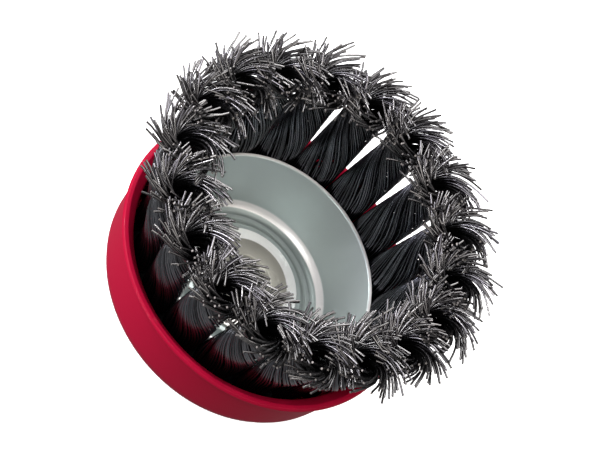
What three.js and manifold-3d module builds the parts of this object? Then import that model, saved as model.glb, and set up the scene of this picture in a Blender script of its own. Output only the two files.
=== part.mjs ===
// Knotted wire cup brush for an angle grinder. Millimetres, +Z from the spindle towards the wire tips.
// The origin is the centre of the hub's back face, where the brush seats on the spindle flange.
import * as THREE from 'three';
import { mergeVertices } from 'three/addons/utils/BufferGeometryUtils.js';
import Module from 'manifold-3d';

const wasm = await Module();
wasm.setup();

// Driving dimensions
const GAP = 0.3;                      // clearance kept between pieces that bear on each other
const HEX_ACROSS_FLATS = 24;
const HEX_HEIGHT = 13;
const HEX_CHAMFER = 1.2;
const BORE_RADIUS = 6;                // M14 x 2 thread, drawn plain at its minor diameter
const BORE_MOUTH_RADIUS = 7.3;        // countersink at both ends of the thread
const SPIGOT_RADIUS = 11;
const HEAD_RADIUS = 15.6;             // rivet head formed inside the dish
const HEAD_FLAT_RADIUS = 12.1;
const HEAD_HEIGHT = 1.3;

const CUP_SHEET = 1.5;
const CUP_RADIUS = 39;                // outside of the cup's straight wall
const CUP_CORNER = 6;
const CUP_WALL_TOP = 30;              // height where the wall starts to flare
const LIP_RADIUS = 42.1;
const LIP_HEIGHT = 34.9;

const PLATE_SHEET = 2.2;
const PLATE_SEAT_RADIUS = 24.5;       // flat middle of the plate, clamped under the dish
const PLATE_RAISED_RADIUS = 27;       // where the raised outer ring starts
const PLATE_RADIUS = 33;
const PLATE_RISE = 3;                 // room for the wire loops under the outer ring
const KNOT_HOLE_CENTRE = 29.7;
const KNOT_HOLE_RADIUS = 2.2;

const DISH_SHEET = 1;
const DISH_BOSS_RADIUS = 17;          // flat middle of the dish, drawn up under the rivet head
const DISH_BOSS_RISE = 1.9;
const DISH_FLOOR_RADIUS = 20.4;       // bottom of the groove round the boss
const DISH_FILLET_RADIUS = 24.4;
const DISH_FILLET_RISE = 2.5;
const DISH_RIM_RADIUS = 31.1;
const DISH_DEPTH = 15.7;

const KNOTS = 18;
const BRUSH_HEIGHT = 67.6;
const LOOP_RADIUS = 1.3;              // the folded bundle where it passes the holder plate
const FLUTE_DEPTH = 0.05;             // share of the radius lost between two strands
const TWIST = THREE.MathUtils.degToRad(-150);

// Levels worked out from the stack
const cupFloor = HEX_HEIGHT + GAP;
const plateFloor = cupFloor + CUP_SHEET + GAP;
const dishFloor = plateFloor + PLATE_SHEET + GAP;
const headFloor = dishFloor + DISH_SHEET + DISH_BOSS_RISE + GAP;
const dishRim = dishFloor + DISH_SHEET + DISH_DEPTH;
const plateTop = plateFloor + PLATE_RISE + PLATE_SHEET;
const knotFoot = plateTop + GAP;
const holeInSheets = SPIGOT_RADIUS + GAP;

const redPaint = new THREE.MeshStandardMaterial({ color: 0xb01c33, roughness: 0.35, metalness: 0.1 });
const zincPlate = new THREE.MeshStandardMaterial({ color: 0x9aa19f, roughness: 0.25, metalness: 1 });
const nutSteel = new THREE.MeshStandardMaterial({ color: 0x8f8e86, roughness: 0.35, metalness: 1 });
const plateSteel = new THREE.MeshStandardMaterial({ color: 0x55575a, roughness: 0.5, metalness: 1 });
const wireSteel = new THREE.MeshStandardMaterial({ color: 0x3c3b3d, roughness: 0.45, metalness: 0.9 });

// A closed three.js geometry as a manifold solid, with its seams welded.
function solid(geometry) {
  const bare = geometry.index ? geometry.clone() : geometry;
  bare.deleteAttribute('normal');
  bare.deleteAttribute('uv');
  const welded = mergeVertices(bare, 1e-4);
  const index = welded.index.array;
  const kept = [];
  for (let i = 0; i < index.length; i += 3) {
    const [a, b, c] = [index[i], index[i + 1], index[i + 2]];
    if (a !== b && b !== c && c !== a) kept.push(a, b, c);
  }
  return new wasm.Manifold(new wasm.Mesh({
    numProp: 3,
    vertProperties: new Float32Array(welded.attributes.position.array),
    triVerts: new Uint32Array(kept),
  }));
}

// A named mesh from a manifold solid.
function piece(name, body, material) {
  const { vertProperties, triVerts } = body.getMesh();
  const geometry = new THREE.BufferGeometry();
  geometry.setAttribute('position', new THREE.BufferAttribute(new Float32Array(vertProperties), 3));
  geometry.setIndex(new THREE.BufferAttribute(new Uint32Array(triVerts), 1));
  geometry.computeVertexNormals();
  const mesh = new THREE.Mesh(geometry, material);
  mesh.name = name;
  return mesh;
}

// A body of revolution about Z. The profile is a list of [radius, height] that runs counter-clockwise.
function turned(profile, sides) {
  const points = profile.map(([radius, height]) => new THREE.Vector2(radius, height));
  return new THREE.LatheGeometry(points, sides).rotateX(Math.PI / 2);
}

// A closed ring of revolution: its profile returns to where it starts.
function ring(profile, sides) {
  return solid(turned([...profile, profile[0]], sides));
}

// Points on an arc in the profile plane, from one angle to the other, in degrees.
function arc(centreRadius, centreHeight, radius, from, to, steps) {
  const points = [];
  for (let i = 0; i <= steps; i += 1) {
    const angle = THREE.MathUtils.degToRad(from + ((to - from) * i) / steps);
    points.push([centreRadius + radius * Math.cos(angle), centreHeight + radius * Math.sin(angle)]);
  }
  return points;
}

// A round bar along Z, used as a cutter.
function bar(radius, from, to, sides) {
  const geometry = new THREE.CylinderGeometry(radius, radius, to - from, sides).rotateX(Math.PI / 2);
  return solid(geometry.translate(0, 0, (from + to) / 2));
}

// The threaded hub: a hexagon behind the cup, a spigot through the sheets and a rivet head in the dish.
function hubNut() {
  const cornerRadius = HEX_ACROSS_FLATS / Math.sqrt(3);
  const hexagon = new THREE.CylinderGeometry(cornerRadius, cornerRadius, HEX_HEIGHT, 6)
    .rotateX(Math.PI / 2)
    .translate(0, 0, HEX_HEIGHT / 2);
  const envelope = turned([
    [0, 0],
    [cornerRadius - HEX_CHAMFER, 0],
    [cornerRadius + 0.2, HEX_CHAMFER],
    [cornerRadius + 0.2, HEX_HEIGHT],
    [0, HEX_HEIGHT],
  ], 36);
  const headTop = headFloor + HEAD_HEIGHT;
  const spigotAndHead = turned([
    [0, HEX_HEIGHT - 1],
    [SPIGOT_RADIUS, HEX_HEIGHT - 1],
    [SPIGOT_RADIUS, headFloor],
    [HEAD_RADIUS - 0.4, headFloor],
    [HEAD_RADIUS, headFloor + 0.4],
    [HEAD_FLAT_RADIUS, headTop],
    [0, headTop],
  ], 36);
  const countersink = BORE_MOUTH_RADIUS - BORE_RADIUS;
  const bore = turned([
    [0, -1],
    [BORE_MOUTH_RADIUS + 1, -1],
    [BORE_RADIUS, countersink],
    [BORE_RADIUS, headTop - countersink],
    [BORE_MOUTH_RADIUS + 1, headTop + 1],
    [0, headTop + 1],
  ], 24);
  const body = solid(hexagon).intersect(solid(envelope)).add(solid(spigotAndHead)).subtract(solid(bore));
  return piece('hub_nut', body, nutSteel);
}

// The pressed cup: a flat floor, a rolled corner, a straight wall and a flared lip.
function outerCup() {
  const cornerCentre = CUP_RADIUS - CUP_CORNER;
  const cornerLevel = cupFloor + CUP_CORNER;
  const innerWall = CUP_RADIUS - CUP_SHEET;
  const profile = [
    [holeInSheets, cupFloor],
    ...arc(cornerCentre, cornerLevel, CUP_CORNER, -90, 0, 4),
    [CUP_RADIUS, CUP_WALL_TOP],
    [CUP_RADIUS + 0.7, CUP_WALL_TOP + 2],
    [LIP_RADIUS - 0.2, LIP_HEIGHT - 1.4],
    [LIP_RADIUS, LIP_HEIGHT - 0.6],
    [LIP_RADIUS - 0.7, LIP_HEIGHT],
    [LIP_RADIUS - 1.7, LIP_HEIGHT],
    [innerWall + 1.2, CUP_WALL_TOP + 3],
    [innerWall + 0.2, CUP_WALL_TOP + 0.6],
    ...arc(cornerCentre, cornerLevel, CUP_CORNER - CUP_SHEET, 0, -90, 4),
    [holeInSheets, cupFloor + CUP_SHEET],
  ];
  return piece('outer_cup', ring(profile, 48), redPaint);
}

// The holder plate: a clamped flat middle, and a raised ring with a punched hole for each knot.
function knotRing() {
  const raised = plateFloor + PLATE_RISE;
  const profile = [
    [holeInSheets, plateFloor],
    [PLATE_SEAT_RADIUS, plateFloor],
    [PLATE_RAISED_RADIUS, raised],
    [PLATE_RADIUS, raised],
    [PLATE_RADIUS, raised + PLATE_SHEET],
    [PLATE_RAISED_RADIUS - 0.4, raised + PLATE_SHEET],
    [PLATE_SEAT_RADIUS - 0.4, plateFloor + PLATE_SHEET],
    [holeInSheets, plateFloor + PLATE_SHEET],
  ];
  let body = ring(profile, 36);
  for (let i = 0; i < KNOTS; i += 1) {
    const angle = (2 * Math.PI * i) / KNOTS;
    const hole = bar(KNOT_HOLE_RADIUS, raised - 1, raised + PLATE_SHEET + 1, 8);
    body = body.subtract(hole.translate([
      KNOT_HOLE_CENTRE * Math.cos(angle),
      KNOT_HOLE_CENTRE * Math.sin(angle),
      0,
    ]));
  }
  return piece('knot_ring', body, plateSteel);
}

// The zinc-plated dish: a boss under the rivet head, a groove, a fillet, a cone and a rounded rim.
function innerDish() {
  const insideFloor = dishFloor + DISH_SHEET;
  const filletTop = insideFloor + DISH_FILLET_RISE;
  const profile = [
    [holeInSheets, dishFloor + DISH_BOSS_RISE],
    [DISH_BOSS_RADIUS - 0.6, dishFloor + DISH_BOSS_RISE],
    [DISH_BOSS_RADIUS + 1.9, dishFloor],
    [DISH_FLOOR_RADIUS, dishFloor],
    [DISH_FILLET_RADIUS - 0.9, dishFloor + 1],
    [DISH_FILLET_RADIUS + 0.9, filletTop - 0.4],
    [DISH_RIM_RADIUS, dishRim - 1],
    [DISH_RIM_RADIUS + 0.3, dishRim - 0.4],
    [DISH_RIM_RADIUS - 0.1, dishRim],
    [DISH_RIM_RADIUS - 0.8, dishRim - 0.4],
    [DISH_FILLET_RADIUS, filletTop],
    [DISH_FILLET_RADIUS - 1.5, filletTop - 1.7],
    [DISH_FLOOR_RADIUS, insideFloor],
    [DISH_BOSS_RADIUS + 2.4, insideFloor],
    [DISH_BOSS_RADIUS, insideFloor + DISH_BOSS_RISE],
    [holeInSheets, insideFloor + DISH_BOSS_RISE],
  ];
  return piece('inner_dish', ring(profile, 48), zincPlate);
}

// A knot's outline: [share of its height, half width across, half width radially, distance from the axis].
// It is pressed between dish and cup at its foot, and its tuft opens round a hollow at the end.
const KNOT_SECTIONS = [
  [0, 2.4, 2.4, 32.4],
  [0.09, 4.2, 3.5, 32.9],
  [0.22, 5.0, 3.3, 34.3],
  [0.3, 5.3, 3.7, 35.7],
  [0.44, 5.2, 4.4, 36.6],
  [0.58, 5.0, 4.8, 37.6],
  [0.72, 5.0, 5.2, 38.6],
  [0.86, 5.9, 7.2, 39.6],
  [0.97, 6.4, 9.4, 40.3],
  [1, 5.8, 9.0, 40.4],
  [0.93, 2.6, 3.4, 40.1],
];
const HOLLOW_FLOOR = 0.75;

// A twisted knot in its own frame: X across, Y outwards from the brush's axis, Z along the brush.
function knotBundle(sides) {
  const height = BRUSH_HEIGHT - knotFoot;
  const foot = [0, 0, 0, KNOT_SECTIONS[0][3]];
  const hollow = [HOLLOW_FLOOR, 0, 0, KNOT_SECTIONS.at(-1)[3]];
  const sections = [foot, ...KNOT_SECTIONS, hollow];
  const geometry = turned(sections.map(([share, across]) => [across, share * height]), sides);
  const position = geometry.attributes.position;
  for (let i = 0; i < position.count; i += 1) {
    const [share, across, radial, distance] = sections[i % sections.length];
    const side = Math.floor(i / sections.length) % sides;
    const flute = 1 - FLUTE_DEPTH * (side % 2);
    const angle = (2 * Math.PI * side) / sides + TWIST * share;
    const x = across * flute * Math.cos(angle);
    const y = distance + radial * flute * Math.sin(angle);
    position.setXYZ(i, x, y, knotFoot + share * height);
  }
  return geometry;
}

// The folded root of a knot: down through the plate's hole, under the plate and up round its edge.
function knotLoop() {
  const low = plateFloor + PLATE_RISE - GAP - LOOP_RADIUS;
  const high = knotFoot + 1.2;
  const inside = KNOT_HOLE_CENTRE;
  const outside = PLATE_RADIUS + GAP + LOOP_RADIUS;
  const path = new THREE.CurvePath();
  const stops = [
    [inside + 0.8, high + 0.8],
    [inside, high - 1.2],
    [inside + 0.1, low + 0.9],
    [inside + 1.1, low],
    [outside - 1.1, low],
    [outside, low + 0.9],
    [outside, high - 1.2],
    [outside - 0.8, high + 0.8],
  ].map(([y, z]) => new THREE.Vector3(0, y, z));
  for (let i = 1; i < stops.length; i += 1) {
    path.add(new THREE.LineCurve3(stops[i - 1], stops[i]));
  }
  const section = new THREE.Shape();
  for (let i = 0; i < 6; i += 1) {
    const angle = (2 * Math.PI * i) / 6;
    const x = LOOP_RADIUS * Math.cos(angle);
    const y = LOOP_RADIUS * Math.sin(angle);
    if (i === 0) section.moveTo(x, y);
    else section.lineTo(x, y);
  }
  return new THREE.ExtrudeGeometry(section, { steps: 10, extrudePath: path, bevelEnabled: false });
}

// One knot: the twisted bundle with its folded root, turned to its place round the brush.
function knot(index) {
  const body = solid(knotBundle(12)).add(solid(knotLoop()));
  const mesh = piece(`knot_${String(index + 1).padStart(2, '0')}`, body, wireSteel);
  mesh.rotation.z = (2 * Math.PI * index) / KNOTS - Math.PI / 2;
  return mesh;
}

const brush = new THREE.Group();
brush.add(hubNut(), outerCup(), knotRing(), innerDish());
for (let i = 0; i < KNOTS; i += 1) {
  brush.add(knot(i));
}

export default brush;
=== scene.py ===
"""A knotted wire cup brush: zinc-plated dish, red cup, threaded hub and eighteen twisted wire knots."""
import math

import bpy
from mathutils import Matrix, Vector


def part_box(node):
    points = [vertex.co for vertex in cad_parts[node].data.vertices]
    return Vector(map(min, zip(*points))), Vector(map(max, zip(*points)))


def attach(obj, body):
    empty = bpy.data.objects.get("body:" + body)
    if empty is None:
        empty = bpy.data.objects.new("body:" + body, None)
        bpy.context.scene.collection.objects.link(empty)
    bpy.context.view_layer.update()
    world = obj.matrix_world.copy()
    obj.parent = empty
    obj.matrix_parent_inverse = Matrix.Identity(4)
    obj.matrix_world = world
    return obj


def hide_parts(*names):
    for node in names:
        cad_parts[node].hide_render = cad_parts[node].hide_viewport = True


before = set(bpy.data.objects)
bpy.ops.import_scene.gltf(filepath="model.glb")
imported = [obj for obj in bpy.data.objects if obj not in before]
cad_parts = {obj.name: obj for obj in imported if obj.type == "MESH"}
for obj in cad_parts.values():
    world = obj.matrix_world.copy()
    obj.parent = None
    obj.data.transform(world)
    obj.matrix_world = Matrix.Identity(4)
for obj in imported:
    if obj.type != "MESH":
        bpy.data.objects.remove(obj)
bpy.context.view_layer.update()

MM = 0.001

# The brush's sizes in millimetres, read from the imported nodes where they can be


def extent(node):
    """Outer radius, lowest and highest level of a CAD node, in millimetres."""
    low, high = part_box(node)
    return max(high[0], high[1]) / MM, low[2] / MM, high[2] / MM


LIP_RADIUS, CUP_BASE, LIP_TOP = extent("outer_cup")
DISH_RADIUS, DISH_BASE, DISH_RIM = extent("inner_dish")
PLATE_RADIUS, PLATE_BASE, PLATE_TOP = extent("knot_ring")
HEAD_RADIUS, HUB_BACK, HEAD_TOP = extent("hub_nut")

KNOTS = 18
CUP_SHEET = 1.5
CUP_WALL = 39.0
CUP_CORNER = 6.0
DISH_SHEET = 1.0
PLATE_SHEET = 2.2
HEX_ACROSS_FLATS = 24.0
HEX_CORNER = HEX_ACROSS_FLATS / math.sqrt(3)
HEX_HEIGHT = 13.0
SPIGOT_RADIUS = 11.0
HEAD_FLAT = 12.1
DISH_BOSS = 17.0
DISH_BOSS_RISE = 1.9
THREAD_MINOR = 6.0
THREAD_MAJOR = 7.0
THREAD_PITCH = 2.0
THREAD_STEP = 0.17
HUB_SIDES = 144
BORE_MOUTH = THREAD_MAJOR + 0.2
HEX_CHAMFER = 1.4
HEX_CHAMFER_HEIGHT = 0.8
HEAD_EDGE = 0.7
HEAD_MOUTH_WIDTH = 1.2
HEAD_MOUTH_DEPTH = 1.0
SHEET_HOLE = SPIGOT_RADIUS + 0.1

# the cup's flared lip
FLARE_HEIGHT = 3.6
FLARE_FILLET = 2.2
INNER_FLARE = 3.0
LIP_BAND = 0.9
LIP_WIDTH = 1.6
LIP_ROUND = 0.5
EDGE_ROUND = 0.3

# radii at which the dish and the holder plate bend, on the face and on the back, and the dish's rim
BOSS_FOOT = DISH_BOSS + 2.6
BOSS_BACK = DISH_BOSS - 0.6
BOSS_FOOT_BACK = DISH_BOSS + 1.9
CONE_FOOT = 23.2
CONE_FOOT_BACK = 23.9
CONE_FILLET = 4.4
RIM_DEPTH = 1.2
RIM_WIDTH = 1.1
RIM_ROUND = 0.45
STEP_FOOT = 24.1
STEP_HEAD = 26.6
STEP_FOOT_BACK = 24.5
STEP_HEAD_BACK = 27.0


# Small makers


def add(tree, kind, feeds=None, out=0, **settings):
    """Adds a node with its settings, feeds its inputs with sockets or values, and gives one output."""
    made = tree.nodes.new(kind)
    for name, value in settings.items():
        setattr(made, name, value)
    for key, value in (feeds or {}).items():
        if isinstance(value, bpy.types.NodeSocket):
            tree.links.new(value, made.inputs[key])
        else:
            made.inputs[key].default_value = value
    return made.outputs[out]


def linear(colour):
    """An sRGB hex colour as linear RGBA."""
    parts = [int(colour[i:i + 2], 16) / 255 for i in (1, 3, 5)]
    return (*[c / 12.92 if c <= 0.04045 else ((c + 0.055) / 1.055) ** 2.4 for c in parts], 1)


def new_piece(name, verts, faces, material, smooth_angle=35):
    """A mesh object from points in millimetres, smooth but for edges past smooth_angle degrees."""
    mesh = bpy.data.meshes.new(name)
    mesh.from_pydata([Vector(v) * MM for v in verts], [], faces)
    mesh.validate()
    mesh.materials.append(material)
    mesh.shade_smooth()
    mesh.set_sharp_from_angle(angle=math.radians(smooth_angle))
    piece = bpy.data.objects.new(name, mesh)
    bpy.context.collection.objects.link(piece)
    return piece


def rounded(corners, steps=6):
    """A closed outline of [radius, height, fillet] corners with each fillet drawn as an arc."""
    outline = []
    count = len(corners)
    for i, (radius, height, fillet) in enumerate(corners):
        here = Vector((radius, height))
        if not fillet:
            outline.append(here)
            continue
        back = (Vector(corners[i - 1][:2]) - here).normalized()
        ahead = (Vector(corners[(i + 1) % count][:2]) - here).normalized()
        half = back.angle(ahead) / 2
        centre = here + (back + ahead).normalized() * (fillet / math.sin(half))
        start = here + back * (fillet / math.tan(half)) - centre
        end = here + ahead * (fillet / math.tan(half)) - centre
        sweep = start.angle_signed(end)
        for step in range(steps + 1):
            outline.append(centre + Matrix.Rotation(-sweep * step / steps, 2) @ start)
    return outline


def skin(sides, rows):
    """The faces that join closed sections of so many points each, standing round the axis."""
    faces = []
    for side in range(sides):
        here, beside = side * rows, (side + 1) % sides * rows
        for row in range(rows):
            above = (row + 1) % rows
            faces.append((here + row, beside + row, beside + above, here + above))
    return faces


def turned(name, corners, material, sides=180):
    """A ring turned about the brush's axis from a closed outline that runs counter-clockwise."""
    outline = rounded(corners)
    verts = []
    for side in range(sides):
        angle = 2 * math.pi * side / sides
        verts += [(p.x * math.cos(angle), p.x * math.sin(angle), p.y) for p in outline]
    return new_piece(name, verts, skin(sides, len(outline)), material)


# Camera and light

VIEW_AZIMUTH = math.radians(-8.2)
VIEW_ELEVATION = math.radians(50.8)
VIEW_ROLL = math.radians(49.4)
VIEW_DISTANCE = 520
LENS = 120
NEAREST_SEEN = 0.01
AIM_RIGHT, AIM_UP = 8.0, 9.1
FLOOR_HALF = 3000
FLOOR_GLOW = 0.5
ROOM_LIGHT = 0.3
# each soft box: its place along the camera's right, up and back, its size and its power in watts
SOFT_BOXES = [
    ("key", (-450, 400, 450), 560, 8, "#F4F1FF"),
    ("fill", (480, 0, 450), 500, 2.5, "#FFFAF4"),
    ("top", (290, 590, 240), 560, 6, "#FFFFFF"),
    ("front", (-60, 40, 700), 160, 2.2, "#FFFFFF"),
    ("glint", (-260, 640, 420), 90, 3.2, "#FFFFFF"),
    ("low_glint", (-650, -110, 360), 240, 2, "#FFFFFF"),
]


def view_axes():
    """The camera's right, up and backward directions."""
    sin_a, cos_a = math.sin(VIEW_AZIMUTH), math.cos(VIEW_AZIMUTH)
    sin_e, cos_e = math.sin(VIEW_ELEVATION), math.cos(VIEW_ELEVATION)
    level = Vector((cos_a, sin_a, 0))
    rise = Vector((-sin_a * sin_e, cos_a * sin_e, cos_e))
    back = Vector((sin_a * cos_e, -cos_a * cos_e, sin_e))
    right = level * math.cos(VIEW_ROLL) + rise * math.sin(VIEW_ROLL)
    up = rise * math.cos(VIEW_ROLL) - level * math.sin(VIEW_ROLL)
    return right, up, back


def make_camera():
    """The camera, with the middle of the dish's rim a little low and left of the middle of the frame."""
    right, up, back = view_axes()
    rim_centre = Vector((0, 0, DISH_RIM))
    place = rim_centre + back * VIEW_DISTANCE
    backward = (place - rim_centre - right * AIM_RIGHT - up * AIM_UP).normalized()
    side = up.cross(backward).normalized()
    turn = Matrix((side, backward.cross(side), backward)).transposed()
    camera = bpy.data.objects.new("camera", bpy.data.cameras.new("camera"))
    camera.data.lens = LENS
    camera.data.clip_start = NEAREST_SEEN
    camera.matrix_world = Matrix.Translation(place * MM) @ turn.to_4x4()
    bpy.context.collection.objects.link(camera)
    bpy.context.scene.camera = camera


def soft_box(name, offset, size, power, colour):
    """A square area light, offset in millimetres along the camera's right, up and back from the dish."""
    right, up, back = view_axes()
    target = Vector((0, 0, DISH_RIM))
    place = target + right * offset[0] + up * offset[1] + back * offset[2]
    data = bpy.data.lights.new(name, "AREA")
    data.shape = "SQUARE"
    data.size = size * MM
    data.energy = power
    data.color = linear(colour)[:3]
    lamp = bpy.data.objects.new(name, data)
    facing = (place - target).to_track_quat("Z", "Y").to_matrix().to_4x4()
    lamp.matrix_world = Matrix.Translation(place * MM) @ facing
    bpy.context.collection.objects.link(lamp)


def make_studio():
    """A pale floor that doesn't mirror in the brush, an even grey room and the soft boxes."""
    scene = bpy.context.scene
    scene.view_settings.view_transform = "Standard"
    world = bpy.data.worlds.new("room")
    world.use_nodes = True
    background = world.node_tree.nodes["Background"]
    background.inputs["Color"].default_value = linear("#FFFFFF")
    background.inputs["Strength"].default_value = ROOM_LIGHT
    scene.world = world
    paper = bpy.data.materials.new("white_paper_sweep")
    paper.use_nodes = True
    shader = paper.node_tree.nodes["Principled BSDF"]
    shader.inputs["Base Color"].default_value = linear("#F7F7F7")
    shader.inputs["Roughness"].default_value = 0.9
    shader.inputs["Specular IOR Level"].default_value = 0.1
    shader.inputs["Emission Color"].default_value = linear("#FFFFFF")
    shader.inputs["Emission Strength"].default_value = FLOOR_GLOW
    far = FLOOR_HALF
    corners = [(-far, -far, 0), (far, -far, 0), (far, far, 0), (-far, far, 0)]
    floor = new_piece("floor", corners, [(0, 1, 2, 3)], paper)
    floor.visible_glossy = False
    floor.visible_diffuse = False
    for soft in SOFT_BOXES:
        soft_box(*soft)


# Materials

# sizes in millimetres of the patches in each finish
ORANGE_PEEL = 1.1
PEEL_DEPTH = 0.2
ZINC_CLOUD = 16.5
HUB_CLOUD = 11
PLATE_CLOUD = 6.7
# rings of painted shade in the dish's grooves and of painted highlight on its fillet, its rim and the
# hub's head: inner radius, outer radius, and colour or blur
GROOVE_SHADE_RINGS = [(17.4, 18.3, "#8E9896"), (21.0, 22.3, "#7F8886")]
GROOVE_SHADE_BLUR = 0.5
FILLET_HIGHLIGHT_RING = (22.8, 24.0, 0.3)
RIM_HIGHLIGHT_RING = (DISH_RADIUS - 0.8, DISH_RADIUS + 1, 0.2)
HEAD_HIGHLIGHT_RING = (12.2, 15.3, 0.4)
# share of the wire's length over which the painted shade low in the cup fades out, and over which it is
# rubbed by work
FOOT_SHADE_SPAN = (0.2, 0.48)
WORN_SPAN = (0.6, 0.95)


def new_material(name):
    """An empty procedural material: its tree and its shader."""
    material = bpy.data.materials.new(name)
    material.use_nodes = True
    return material, material.node_tree, material.node_tree.nodes["Principled BSDF"]


def patches(size):
    """The scale of a noise whose patches are the given size across, in millimetres."""
    return 1 / (size * MM)


def red_stove_enamel():
    """Stoved enamel on pressed steel: an even satin red with a faint orange-peel ripple."""
    material, tree, shader = new_material("red_stove_enamel")
    place = add(tree, "ShaderNodeTexCoord", out="Object")
    peel = add(tree, "ShaderNodeTexNoise",
               {"Vector": place, "Scale": patches(ORANGE_PEEL), "Detail": 2.0})
    bump = add(tree, "ShaderNodeBump", {"Height": peel, "Strength": 0.06, "Distance": PEEL_DEPTH * MM})
    tree.links.new(bump, shader.inputs["Normal"])
    shader.inputs["Base Color"].default_value = linear("#920A29")
    shader.inputs["Roughness"].default_value = 0.42
    shader.inputs["Specular IOR Level"].default_value = 0.05
    shader.inputs["Coat Weight"].default_value = 0.04
    shader.inputs["Coat Roughness"].default_value = 0.1
    return material


def clouded(tree, size, light, dark, detail=3.0):
    """Two shades of one metal in soft patches of the given size in millimetres."""
    place = add(tree, "ShaderNodeTexCoord", out="Object")
    cloud = add(tree, "ShaderNodeTexNoise", {"Vector": place, "Scale": patches(size), "Detail": detail})
    return add(tree, "ShaderNodeMix", {0: cloud, 6: linear(light), 7: linear(dark)},
               out=2, data_type="RGBA")


def ring_distance(tree):
    """The distance of a surface point from the brush's axis, in millimetres."""
    place = add(tree, "ShaderNodeTexCoord", out="Object")
    flat = add(tree, "ShaderNodeVectorMath", {0: place, 1: (1 / MM, 1 / MM, 0)}, operation="MULTIPLY")
    return add(tree, "ShaderNodeVectorMath", {0: flat}, out="Value", operation="LENGTH")


def ring_mask(tree, inner, outer, blur):
    """One between the two radii in millimetres and nought elsewhere, with soft edges as wide as blur."""
    distance = ring_distance(tree)
    rise = add(tree, "ShaderNodeMapRange",
               {"Value": distance, "From Min": inner - blur, "From Max": inner},
               interpolation_type="SMOOTHSTEP")
    fall = add(tree, "ShaderNodeMapRange",
               {"Value": distance, "From Min": outer, "From Max": outer + blur},
               interpolation_type="SMOOTHSTEP")
    return add(tree, "ShaderNodeMath", {0: rise, 1: fall}, operation="SUBTRACT")


def zinc_plate():
    """Zinc plating on drawn steel: soft grey-green, with painted shade darkening its grooves and painted
    highlights brightening fillet and rim.
    """
    material, tree, shader = new_material("dull_zinc_plate")
    tone = clouded(tree, ZINC_CLOUD, "#B4BDBB", "#A8B1AF")
    # painted shade: the grooves of the dish are darkened where shade falls in them
    for inner, outer, colour in GROOVE_SHADE_RINGS:
        groove_shade = ring_mask(tree, inner, outer, GROOVE_SHADE_BLUR)
        tone = add(tree, "ShaderNodeMix", {0: groove_shade, 6: tone, 7: linear(colour)},
                   out=2, data_type="RGBA")
    # painted highlight: the fillet and the rim are mixed towards near white
    highlight_ring = ring_mask(tree, *FILLET_HIGHLIGHT_RING)
    rim = ring_mask(tree, *RIM_HIGHLIGHT_RING)
    bright = add(tree, "ShaderNodeMath", {0: highlight_ring, 1: rim}, operation="ADD")
    tone = add(tree, "ShaderNodeMix", {0: bright, 6: tone, 7: linear("#EAE7E4")},
               out=2, data_type="RGBA")
    # the highlight rings are a little less metallic, the fillet a little duller and the rim shinier
    metal = add(tree, "ShaderNodeMath", {0: highlight_ring, 1: -0.15, 2: 0.6}, operation="MULTIPLY_ADD")
    metal = add(tree, "ShaderNodeMath", {0: rim, 1: -0.35, 2: metal}, operation="MULTIPLY_ADD")
    rough = add(tree, "ShaderNodeMath", {0: highlight_ring, 1: 0.08, 2: 0.36}, operation="MULTIPLY_ADD")
    rough = add(tree, "ShaderNodeMath", {0: rim, 1: -0.1, 2: rough}, operation="MULTIPLY_ADD")
    tree.links.new(tone, shader.inputs["Base Color"])
    tree.links.new(metal, shader.inputs["Metallic"])
    tree.links.new(rough, shader.inputs["Roughness"])
    return material


def turned_steel():
    """Turned steel of the hub: satin and slightly warm, with a painted highlight on the rivet head's
    edge.
    """
    material, tree, shader = new_material("turned_hub_steel")
    tone = clouded(tree, HUB_CLOUD, "#9B998F", "#8F8D85")
    # painted highlight: the edge of the rivet head is mixed towards white
    highlight_ring = ring_mask(tree, *HEAD_HIGHLIGHT_RING)
    tone = add(tree, "ShaderNodeMix", {0: highlight_ring, 6: tone, 7: linear("#FFFDFB")},
               out=2, data_type="RGBA")
    tree.links.new(tone, shader.inputs["Base Color"])
    shader.inputs["Metallic"].default_value = 0.55
    shader.inputs["Roughness"].default_value = 0.36
    return material


def sheet_steel():
    """Punched sheet steel of the holder plate: plain dark grey metal, a little oily."""
    material, tree, shader = new_material("punched_sheet_steel")
    tone = clouded(tree, PLATE_CLOUD, "#5E5F61", "#47484B", detail=4.0)
    tree.links.new(tone, shader.inputs["Base Color"])
    shader.inputs["Metallic"].default_value = 1.0
    shader.inputs["Roughness"].default_value = 0.45
    return material


def drawn_wire():
    """Hard-drawn steel wire: painted shade makes it dark low in the cup, bluish grey above; each wire has
    its own tone, with painted shade on the inner rings.
    """
    material, tree, shader = new_material("drawn_steel_wire")
    along = add(tree, "ShaderNodeAttribute", out="Fac", attribute_name="along")
    strand_tone_and_shade = add(tree, "ShaderNodeAttribute", out="Fac", attribute_name="strand_tone_and_shade")
    # painted shade: the wire is darkest at its foot, deep in the cup, and lighter further up
    out_of_foot_shade = add(tree, "ShaderNodeMapRange",
                {"Value": along, "From Min": FOOT_SHADE_SPAN[0], "From Max": FOOT_SHADE_SPAN[1]})
    shade = add(tree, "ShaderNodeMix", {0: out_of_foot_shade, 6: linear("#3C3D41"), 7: linear("#808289")},
                out=2, data_type="RGBA")
    worn = add(tree, "ShaderNodeMapRange",
               {"Value": along, "From Min": WORN_SPAN[0], "From Max": WORN_SPAN[1]})
    shade = add(tree, "ShaderNodeMix", {0: worn, 6: shade, 7: linear("#817F7F")},
                out=2, data_type="RGBA")
    # the strand tone darkens some wires at random, and the inner rings as painted shade
    varied = add(tree, "ShaderNodeMix", {0: strand_tone_and_shade, 6: shade, 7: linear("#212023")},
                 out=2, data_type="RGBA")
    tree.links.new(varied, shader.inputs["Base Color"])
    shader.inputs["Metallic"].default_value = 1.0
    shader.inputs["Roughness"].default_value = 0.25
    return material


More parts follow.
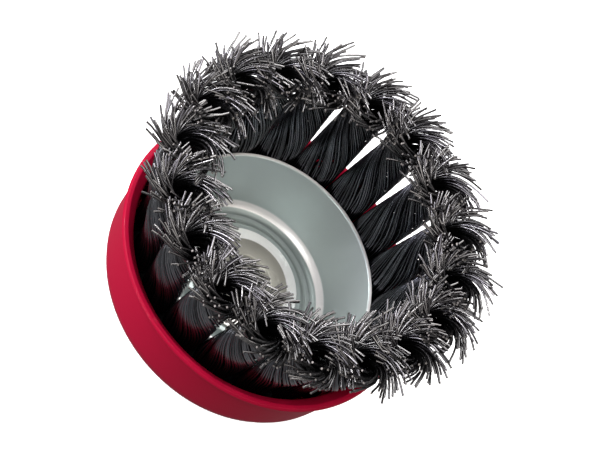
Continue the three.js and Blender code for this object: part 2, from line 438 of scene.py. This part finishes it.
def cut_wire_end():
    """The sheared end of a wire: bare steel, rough and a little brown."""
    material, tree, shader = new_material("sheared_wire_end")
    shader.inputs["Base Color"].default_value = linear("#7E7974")
    shader.inputs["Metallic"].default_value = 0.8
    shader.inputs["Roughness"].default_value = 0.6
    return material


# Sheet-metal pieces and hub


def make_cup(material):
    """The pressed cup with its rolled corner and flared lip."""
    inside = CUP_WALL - CUP_SHEET
    return turned("red_cup", [
        (SHEET_HOLE, CUP_BASE, EDGE_ROUND),
        (CUP_WALL, CUP_BASE, CUP_CORNER),
        (CUP_WALL, LIP_TOP - FLARE_HEIGHT, FLARE_FILLET),
        (LIP_RADIUS, LIP_TOP - LIP_BAND, LIP_ROUND),
        (LIP_RADIUS - LIP_ROUND, LIP_TOP, EDGE_ROUND),
        (LIP_RADIUS - LIP_WIDTH, LIP_TOP, LIP_ROUND),
        (inside, LIP_TOP - INNER_FLARE, INNER_FLARE),
        (inside, CUP_BASE + CUP_SHEET, CUP_CORNER - CUP_SHEET),
        (SHEET_HOLE, CUP_BASE + CUP_SHEET, EDGE_ROUND),
    ], material)


def make_dish(material):
    """The drawn dish: floor, fillet, cone and rolled rim."""
    floor = DISH_BASE + DISH_SHEET
    return turned("zinc_dish", [
        (SHEET_HOLE, DISH_BASE + DISH_BOSS_RISE, 0.2),
        (BOSS_BACK, DISH_BASE + DISH_BOSS_RISE, 0.6),
        (BOSS_FOOT_BACK, DISH_BASE, 2.2),
        (CONE_FOOT_BACK, DISH_BASE, CONE_FILLET + DISH_SHEET),
        (DISH_RADIUS, DISH_RIM - RIM_DEPTH, 0.5),
        (DISH_RADIUS, DISH_RIM, RIM_ROUND),
        (DISH_RADIUS - RIM_WIDTH, DISH_RIM, RIM_ROUND),
        (CONE_FOOT, floor, CONE_FILLET),
        (BOSS_FOOT, floor, 1.4),
        (DISH_BOSS, floor + DISH_BOSS_RISE, 1.2),
        (SHEET_HOLE, floor + DISH_BOSS_RISE, 0.2),
    ], material)


def make_plate(material):
    """The holder plate under the dish, with its raised ring."""
    return turned("holder_plate", [
        (SHEET_HOLE, PLATE_BASE, 0.1),
        (STEP_FOOT_BACK, PLATE_BASE, 1.5),
        (STEP_HEAD_BACK, PLATE_TOP - PLATE_SHEET, 1.5),
        (PLATE_RADIUS, PLATE_TOP - PLATE_SHEET, 0.2),
        (PLATE_RADIUS, PLATE_TOP, 0.2),
        (STEP_HEAD, PLATE_TOP, 1.0),
        (STEP_FOOT, PLATE_BASE + PLATE_SHEET, 1.0),
        (SHEET_HOLE, PLATE_BASE + PLATE_SHEET, 0.1),
    ], material)


def bore_radius(height, angle):
    """The bore's radius: a right-hand thread with flat crests, cut back by a cone at the hub's back."""
    phase = (height / THREAD_PITCH - angle / (2 * math.pi)) % 1
    groove = min(max(1.5 - 4 * abs(phase - 0.5), 0), 1)
    mouth = BORE_MOUTH - (height - HUB_BACK)
    return max(THREAD_MINOR + (THREAD_MAJOR - THREAD_MINOR) * groove, mouth)


def make_hub(material):
    """The hexagon, spigot and rivet head round the threaded bore."""
    sides = HUB_SIDES
    seat = DISH_BASE + DISH_SHEET + DISH_BOSS_RISE
    mouth = HEAD_TOP - HEAD_MOUTH_DEPTH
    outline = rounded([
        (BORE_MOUTH, HUB_BACK, 0),
        (HEX_CORNER - HEX_CHAMFER, HUB_BACK, 0.3),
        (HEX_CORNER, HUB_BACK + HEX_CHAMFER_HEIGHT, 0.1),
        (HEX_CORNER, HEX_HEIGHT - HEX_CHAMFER_HEIGHT, 0.1),
        (HEX_CORNER - HEX_CHAMFER, HEX_HEIGHT, 0.3),
        (SPIGOT_RADIUS, HEX_HEIGHT, 0.1),
        (SPIGOT_RADIUS, seat, 0.1),
        (HEAD_RADIUS, seat, 0.2),
        (HEAD_RADIUS, seat + HEAD_EDGE, 0.3),
        (HEAD_FLAT, HEAD_TOP, 0.8),
        (THREAD_MINOR + HEAD_MOUTH_WIDTH, HEAD_TOP, 0.5),
        (THREAD_MINOR, mouth, 0),
    ], steps=3)
    bore_rows = int((mouth - HUB_BACK) / THREAD_STEP)
    levels = [mouth - THREAD_STEP * (row + 1) for row in range(bore_rows)]
    rows = len(outline) + bore_rows
    verts = []
    for side in range(sides):
        angle = 2 * math.pi * side / sides
        from_flat = (angle + math.pi / 6) % (math.pi / 3) - math.pi / 6
        flat = HEX_ACROSS_FLATS / 2 / math.cos(from_flat)
        section = [(min(p.x, flat) if p.y <= HEX_HEIGHT else p.x, p.y) for p in outline]
        section += [(bore_radius(level, angle), level) for level in levels]
        verts += [(reach * math.cos(angle), reach * math.sin(angle), level) for reach, level in section]
    return new_piece("threaded_hub", verts, skin(sides, rows), material, smooth_angle=25)


# Wire knots

# lengths in millimetres, turns in radians, the rest counts, powers and shares
WIRE_POINTS = 25
WIRE_SIDES = 5
WIRE_DIAMETER = 0.6
OUTER_WIRES = 45
MIDDLE_WIRES = 34
INNER_WIRES = 22
RING_STEP = 0.19
RING_SLIP = -0.04
JITTER = 0.035
GROUPING = 0.3
GROUP_SIZE = 2.2
FOOT_LEVEL = PLATE_TOP - 0.5
BUNDLE_LENGTH = 57.6
SHORTEST = 0.95
NECK = 0.7
NECK_STEP = 0.01
TWIST = 7.2
TWIST_POWER = 2.5
TUFT_LENGTH = 17.0
SWIRL = 2.85
SWIRL_EASE = 0.42
SPREAD = 0.42
SPREAD_STEP = -0.06
SPREAD_POWER = 1.5
CLIMB = 0.6
FALL = -0.3
FALL_STEP = 0.03
CLUMP_SCALE = 1.5
CLUMP_RING_STEP = 0.35
SHARED_DRIFT = (0.25, 0.9, 0.35)
OWN_DRIFT = (0.1, 0.25, 0.15)
FOLD_END = 0.06
FOLD_HALF = 2.3
FOLD_CENTRE = 32.2
FOLD_DEPTH = 2.6
ROOT_RADIUS = 1.4
JOIN_START = FOLD_END * 0.8
JOIN_END = 0.24
SHADE_SPREAD = 0.75
# painted shade: how much darker each inner ring of wires is drawn
INNER_RING_PAINTED_SHADE = 0.1
FIRST_SEED = 11
CUT_SEED = 7
SHADE_SEED = 3
CURVE_UNIT = 50.0
# half widths of the bundle and its distance from the brush's axis, against the way up the wire
ACROSS = [(0.0, 4.0), (0.1, 5.1), (0.24, 5.65), (0.4, 5.6), (0.7, 5.2), (1.0, 5.2)]
RADIAL = [(0.0, 2.2), (0.12, 2.3), (0.25, 2.5), (0.39, 3.6), (0.53, 4.7), (0.7, 5.1), (1.0, 5.1)]
DISTANCE = [(0.0, 32.4), (0.12, 33.2), (0.25, 34.0), (0.39, 35.7), (0.53, 37.6), (0.7, 39.1),
            (1.0, 39.5)]


def knot_tree(wire, cut_end):
    """A geometry-node tree that makes one twisted knot of wires with its open tuft."""
    tree = bpy.data.node_groups.new("twisted_wire_knot", "GeometryNodeTree")
    sizes = {}
    tree.interface.new_socket("Geometry", in_out="OUTPUT", socket_type="NodeSocketGeometry")
    inputs = [
        ("Wires", "NodeSocketInt", OUTER_WIRES + MIDDLE_WIRES + INNER_WIRES),
        ("Wire diameter", "NodeSocketFloat", WIRE_DIAMETER * MM),
        ("Foot level", "NodeSocketFloat", FOOT_LEVEL * MM),
        ("Twist", "NodeSocketFloat", TWIST),
        ("Bundle length", "NodeSocketFloat", BUNDLE_LENGTH * MM),
        ("Tuft length", "NodeSocketFloat", TUFT_LENGTH * MM),
        ("Turn", "NodeSocketFloat", 0.0),
        ("Seed", "NodeSocketInt", FIRST_SEED),
    ]
    for name, kind, value in inputs:
        socket = tree.interface.new_socket(name, in_out="INPUT", socket_type=kind)
        socket.default_value = value
        sizes[name] = socket.identifier
    given = tree.nodes.new("NodeGroupInput").outputs
    math_node = "ShaderNodeMath"

    # one straight spline for each wire
    line = add(tree, "GeometryNodeCurvePrimitiveLine", {"End": (0, 0, 1)})
    line = add(tree, "GeometryNodeResampleCurve", {"Curve": line, "Count": WIRE_POINTS})
    copies = tree.nodes.new("GeometryNodeDuplicateElements")
    copies.domain = "SPLINE"
    tree.links.new(line, copies.inputs["Geometry"])
    tree.links.new(given["Wires"], copies.inputs["Amount"])
    number = copies.outputs["Duplicate Index"]
    along = add(tree, "GeometryNodeSplineParameter", out="Factor")

    # three rings of wires, one inside another round a hollow, each evenly spaced
    past_outer = add(tree, math_node, {0: number, 1: OUTER_WIRES - 0.5}, operation="GREATER_THAN")
    past_middle = add(tree, math_node, {0: number, 1: OUTER_WIRES + MIDDLE_WIRES - 0.5},
                      operation="GREATER_THAN")
    ring = add(tree, math_node, {0: past_outer, 1: past_middle}, operation="ADD")
    ring_count = add(tree, math_node, {0: past_outer, 1: MIDDLE_WIRES - OUTER_WIRES, 2: OUTER_WIRES},
                     operation="MULTIPLY_ADD")
    ring_count = add(tree, math_node, {0: past_middle, 1: INNER_WIRES - MIDDLE_WIRES, 2: ring_count},
                     operation="MULTIPLY_ADD")
    even = add(tree, math_node, {0: number, 1: ring_count}, operation="DIVIDE")
    jitter = add(tree, "FunctionNodeRandomValue",
                 {2: -JITTER, 3: JITTER, "ID": number, "Seed": given["Seed"]}, out=1, data_type="FLOAT")
    start = add(tree, math_node, {0: even, 1: 2 * math.pi, 2: jitter}, operation="MULTIPLY_ADD")
    group_place = add(tree, math_node, {0: start, 1: GROUP_SIZE, 2: given["Seed"]},
                      operation="MULTIPLY_ADD")
    group = add(tree, "ShaderNodeTexNoise", {"W": group_place, "Scale": 1.0, "Detail": 0.0},
                noise_dimensions="1D")
    group = add(tree, math_node, {0: group, 1: 0.5}, operation="SUBTRACT")
    start = add(tree, math_node, {0: group, 1: GROUPING, 2: start}, operation="MULTIPLY_ADD")
    layer = add(tree, math_node, {0: ring, 1: -RING_STEP, 2: 1.0}, operation="MULTIPLY_ADD")

    # neighbouring wires share a drift, so that the tuft opens in fans of parallel wires
    start_cos = add(tree, math_node, {0: start}, operation="COSINE")
    start_sin = add(tree, math_node, {0: start}, operation="SINE")
    ring_and_seed = add(tree, math_node, {0: ring, 1: CLUMP_RING_STEP, 2: given["Seed"]},
                        operation="MULTIPLY_ADD")
    clump_place = add(tree, "ShaderNodeCombineXYZ", {"X": start_cos, "Y": start_sin, "Z": ring_and_seed})
    drift = add(tree, "ShaderNodeTexNoise", {"Vector": clump_place, "Scale": CLUMP_SCALE, "Detail": 1.0},
                out="Color")
    drift = add(tree, "ShaderNodeVectorMath", {0: drift, 1: (0.5, 0.5, 0.5)}, operation="SUBTRACT")
    stray = add(tree, "FunctionNodeRandomValue",
                {0: (-1, -1, -1), 1: (1, 1, 1), "ID": number, "Seed": given["Seed"]},
                data_type="FLOAT_VECTOR")
    own = add(tree, "ShaderNodeVectorMath", {0: stray, 1: stray}, operation="MULTIPLY")
    own = add(tree, "ShaderNodeVectorMath", {0: own, 1: stray}, operation="MULTIPLY")
    own = add(tree, "ShaderNodeVectorMath", {0: own, 1: OWN_DRIFT}, operation="MULTIPLY")
    sway = add(tree, "ShaderNodeVectorMath", {0: drift, 1: SHARED_DRIFT, 2: own},
               operation="MULTIPLY_ADD")
    sways = tree.nodes.new("ShaderNodeSeparateXYZ")
    tree.links.new(sway, sways.inputs[0])
    sway_out, sway_round, sway_up = sways.outputs

    # shares of the way up the knot and out into the tuft, with some wires cut a little short
    cut = add(tree, "FunctionNodeRandomValue", {2: SHORTEST, 3: 1.0, "ID": number, "Seed": CUT_SEED},
              out=1, data_type="FLOAT")
    up = add(tree, "ShaderNodeMapRange", {"Value": along, "From Min": FOLD_END, "To Max": cut})
    neck = add(tree, math_node, {0: ring, 1: NECK_STEP, 2: NECK}, operation="MULTIPLY_ADD")
    risen = add(tree, math_node, {0: up, 1: neck}, operation="MINIMUM")
    opened = add(tree, math_node, {0: up, 1: risen}, operation="SUBTRACT")
    opened = add(tree, math_node, {0: opened, 1: 1 - NECK}, operation="DIVIDE")
    opened_squared = add(tree, math_node, {0: opened, 1: opened}, operation="MULTIPLY")

    # the twist tightens up the knot, and the bundle's section follows its height
    twist = add(tree, math_node, {0: risen, 1: TWIST_POWER}, operation="POWER")
    slip = add(tree, math_node, {0: ring, 1: RING_SLIP, 2: 1.0}, operation="MULTIPLY_ADD")
    twist = add(tree, math_node, {0: twist, 1: given["Twist"]}, operation="MULTIPLY")
    twist = add(tree, math_node, {0: twist, 1: slip}, operation="MULTIPLY")
    around = add(tree, math_node, {0: start, 1: twist}, operation="SUBTRACT")
    profiles = []
    for points in (ACROSS, RADIAL, DISTANCE):
        curve = tree.nodes.new("ShaderNodeFloatCurve")
        tree.links.new(risen, curve.inputs["Value"])
        spline = curve.mapping.curves[0]
        spline.points[0].location = (points[0][0], points[0][1] / CURVE_UNIT)
        spline.points[1].location = (points[-1][0], points[-1][1] / CURVE_UNIT)
        for share, length in points[1:-1]:
            spline.points.new(share, length / CURVE_UNIT)
        curve.mapping.update()
        size = add(tree, math_node, {0: curve.outputs[0], 1: CURVE_UNIT * MM}, operation="MULTIPLY")
        profiles.append(size)
    across, radial, distance = profiles

    # past the neck each wire swirls on round the hollow, outwards and up, ever straighter
    swirl = add(tree, math_node, {0: opened_squared, 1: -SWIRL_EASE, 2: opened},
                operation="MULTIPLY_ADD")
    around = add(tree, math_node, {0: swirl, 1: -SWIRL, 2: around}, operation="MULTIPLY_ADD")
    around = add(tree, math_node, {0: sway_round, 1: opened, 2: around}, operation="MULTIPLY_ADD")
    cosine = add(tree, math_node, {0: around}, operation="COSINE")
    sine = add(tree, math_node, {0: around}, operation="SINE")
    outward = add(tree, math_node, {0: ring, 1: SPREAD_STEP, 2: SPREAD}, operation="MULTIPLY_ADD")
    outward = add(tree, math_node, {0: outward, 1: sway_out}, operation="ADD")
    outward = add(tree, math_node, {0: outward, 1: given["Tuft length"]}, operation="MULTIPLY")
    spread = add(tree, math_node, {0: opened, 1: SPREAD_POWER}, operation="POWER")
    outward = add(tree, math_node, {0: outward, 1: spread}, operation="MULTIPLY")
    fall = add(tree, math_node, {0: ring, 1: FALL_STEP, 2: FALL}, operation="MULTIPLY_ADD")
    fall = add(tree, math_node, {0: fall, 1: sway_up}, operation="ADD")
    fall = add(tree, math_node, {0: fall, 1: opened_squared}, operation="MULTIPLY")
    climb = add(tree, math_node, {0: opened, 1: CLIMB, 2: fall}, operation="MULTIPLY_ADD")
    climb = add(tree, math_node, {0: climb, 1: given["Tuft length"]}, operation="MULTIPLY")
    level = add(tree, math_node, {0: risen, 1: given["Bundle length"], 2: given["Foot level"]},
                operation="MULTIPLY_ADD")
    z = add(tree, math_node, {0: level, 1: climb}, operation="ADD")
    reach_x = add(tree, math_node, {0: across, 1: layer, 2: outward}, operation="MULTIPLY_ADD")
    reach_y = add(tree, math_node, {0: radial, 1: layer, 2: outward}, operation="MULTIPLY_ADD")
    x = add(tree, math_node, {0: reach_x, 1: cosine}, operation="MULTIPLY")
    y = add(tree, math_node, {0: reach_y, 1: sine, 2: distance}, operation="MULTIPLY_ADD")
    knot = add(tree, "ShaderNodeCombineXYZ", {"X": x, "Y": y, "Z": z})

    # the folded root, through the plate's hole or round its edge
    side = add(tree, math_node, {0: number, 1: 2.0}, operation="MODULO")
    side = add(tree, math_node, {0: side, 1: 2.0, 2: -1.0}, operation="MULTIPLY_ADD")
    fold = add(tree, "ShaderNodeMapRange", {"Value": along, "From Max": FOLD_END, "To Max": math.pi / 2})
    fold_out = add(tree, math_node, {0: fold}, operation="SINE")
    fold_down = add(tree, math_node, {0: fold}, operation="COSINE")
    leg = add(tree, math_node, {0: fold_out, 1: side}, operation="MULTIPLY")
    leg = add(tree, math_node, {0: leg, 1: FOLD_HALF * MM, 2: FOLD_CENTRE * MM},
              operation="MULTIPLY_ADD")
    thin = add(tree, math_node, {0: layer, 1: ROOT_RADIUS * MM}, operation="MULTIPLY")
    root_x = add(tree, math_node, {0: start_cos, 1: thin}, operation="MULTIPLY")
    root_y = add(tree, math_node, {0: start_sin, 1: thin, 2: leg}, operation="MULTIPLY_ADD")
    root_z = add(tree, math_node, {0: fold_down, 1: -FOLD_DEPTH * MM, 2: level},
                 operation="MULTIPLY_ADD")
    root = add(tree, "ShaderNodeCombineXYZ", {"X": root_x, "Y": root_y, "Z": root_z})
    joined = add(tree, "ShaderNodeMapRange",
                 {"Value": along, "From Min": JOIN_START, "From Max": JOIN_END},
                 interpolation_type="SMOOTHSTEP")
    wires = add(tree, "ShaderNodeMix", {"Factor": joined, 4: root, 5: knot},
                out=1, data_type="VECTOR")
    shaped = add(tree, "GeometryNodeSetPosition",
                 {"Geometry": copies.outputs["Geometry"], "Position": wires})
    shaped = add(tree, "GeometryNodeStoreNamedAttribute",
                 {"Geometry": shaped, "Name": "along", "Value": along}, data_type="FLOAT", domain="POINT")
    # each wire's tone: random, plus painted shade that darkens the inner rings inside the bundle
    tone = add(tree, "FunctionNodeRandomValue", {"ID": number, "Seed": SHADE_SEED},
               out=1, data_type="FLOAT")
    tone = add(tree, math_node, {0: tone, 1: SHADE_SPREAD}, operation="MULTIPLY")
    tone = add(tree, math_node, {0: ring, 1: INNER_RING_PAINTED_SHADE, 2: tone}, operation="MULTIPLY_ADD")
    shaped = add(tree, "GeometryNodeStoreNamedAttribute",
                 {"Geometry": shaped, "Name": "strand_tone_and_shade", "Value": tone}, data_type="FLOAT", domain="POINT")

    # round wire with flat cut ends, which are the only faces with more than four corners
    radius = add(tree, math_node, {0: given["Wire diameter"], 1: 0.5}, operation="MULTIPLY")
    section = add(tree, "GeometryNodeCurvePrimitiveCircle", {"Resolution": WIRE_SIDES, "Radius": radius})
    mesh = add(tree, "GeometryNodeCurveToMesh",
               {"Curve": shaped, "Profile Curve": section, "Fill Caps": True})
    corners = add(tree, "GeometryNodeInputMeshFaceNeighbors", out="Vertex Count")
    is_end = add(tree, "FunctionNodeCompare", {2: corners, 3: 4},
                 data_type="INT", operation="GREATER_THAN")
    is_side = add(tree, "FunctionNodeBooleanMath", {0: is_end}, operation="NOT")
    mesh = add(tree, "GeometryNodeSetShadeSmooth", {"Geometry": mesh, "Shade Smooth": is_side})
    turn = add(tree, "ShaderNodeCombineXYZ", {"Z": given["Turn"]})
    mesh = add(tree, "GeometryNodeTransform", {"Geometry": mesh, "Rotation": turn})
    mesh = add(tree, "GeometryNodeRealizeInstances", {"Geometry": mesh})
    mesh = add(tree, "GeometryNodeSetMaterial", {"Geometry": mesh, "Material": wire})
    mesh = add(tree, "GeometryNodeSetMaterial",
               {"Geometry": mesh, "Selection": is_end, "Material": cut_end})
    result = tree.nodes.new("NodeGroupOutput")
    tree.links.new(mesh, result.inputs[0])
    return tree, sizes


def make_knots(wire, cut_end):
    """Eighteen knots, each of its own wires, as plain meshes."""
    tree, sizes = knot_tree(wire, cut_end)
    depsgraph = bpy.context.evaluated_depsgraph_get
    knots = []
    for i in range(KNOTS):
        maker = bpy.data.objects.new("maker", bpy.data.meshes.new("maker"))
        bpy.context.collection.objects.link(maker)
        modifier = maker.modifiers.new("knot", "NODES")
        modifier.node_group = tree
        modifier[sizes["Turn"]] = 2 * math.pi * i / KNOTS - math.pi / 2
        modifier[sizes["Seed"]] = FIRST_SEED + i
        mesh = bpy.data.meshes.new_from_object(maker.evaluated_get(depsgraph()))
        mesh.name = f"wire_knot_{i + 1:02d}"
        knots.append(bpy.data.objects.new(mesh.name, mesh))
        bpy.context.collection.objects.link(knots[-1])
        maker.modifiers.remove(modifier)
        bpy.data.objects.remove(maker)
    return knots


# The brush

make_camera()
make_studio()
sheet_pieces = [
    (make_cup(red_stove_enamel()), "outer_cup", "red_paint"),
    (make_dish(zinc_plate()), "inner_dish", "zinc_plate"),
    (make_plate(sheet_steel()), "knot_ring", "plate_steel"),
    (make_hub(turned_steel()), "hub_nut", "hub_steel"),
]
wire_knots = make_knots(drawn_wire(), cut_wire_end())
knot_pieces = [(knot, f"knot_{i + 1:02d}", "wire_steel") for i, knot in enumerate(wire_knots)]
for piece, node, slot in sheet_pieces + knot_pieces:
    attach(piece, "root")
    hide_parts(node)
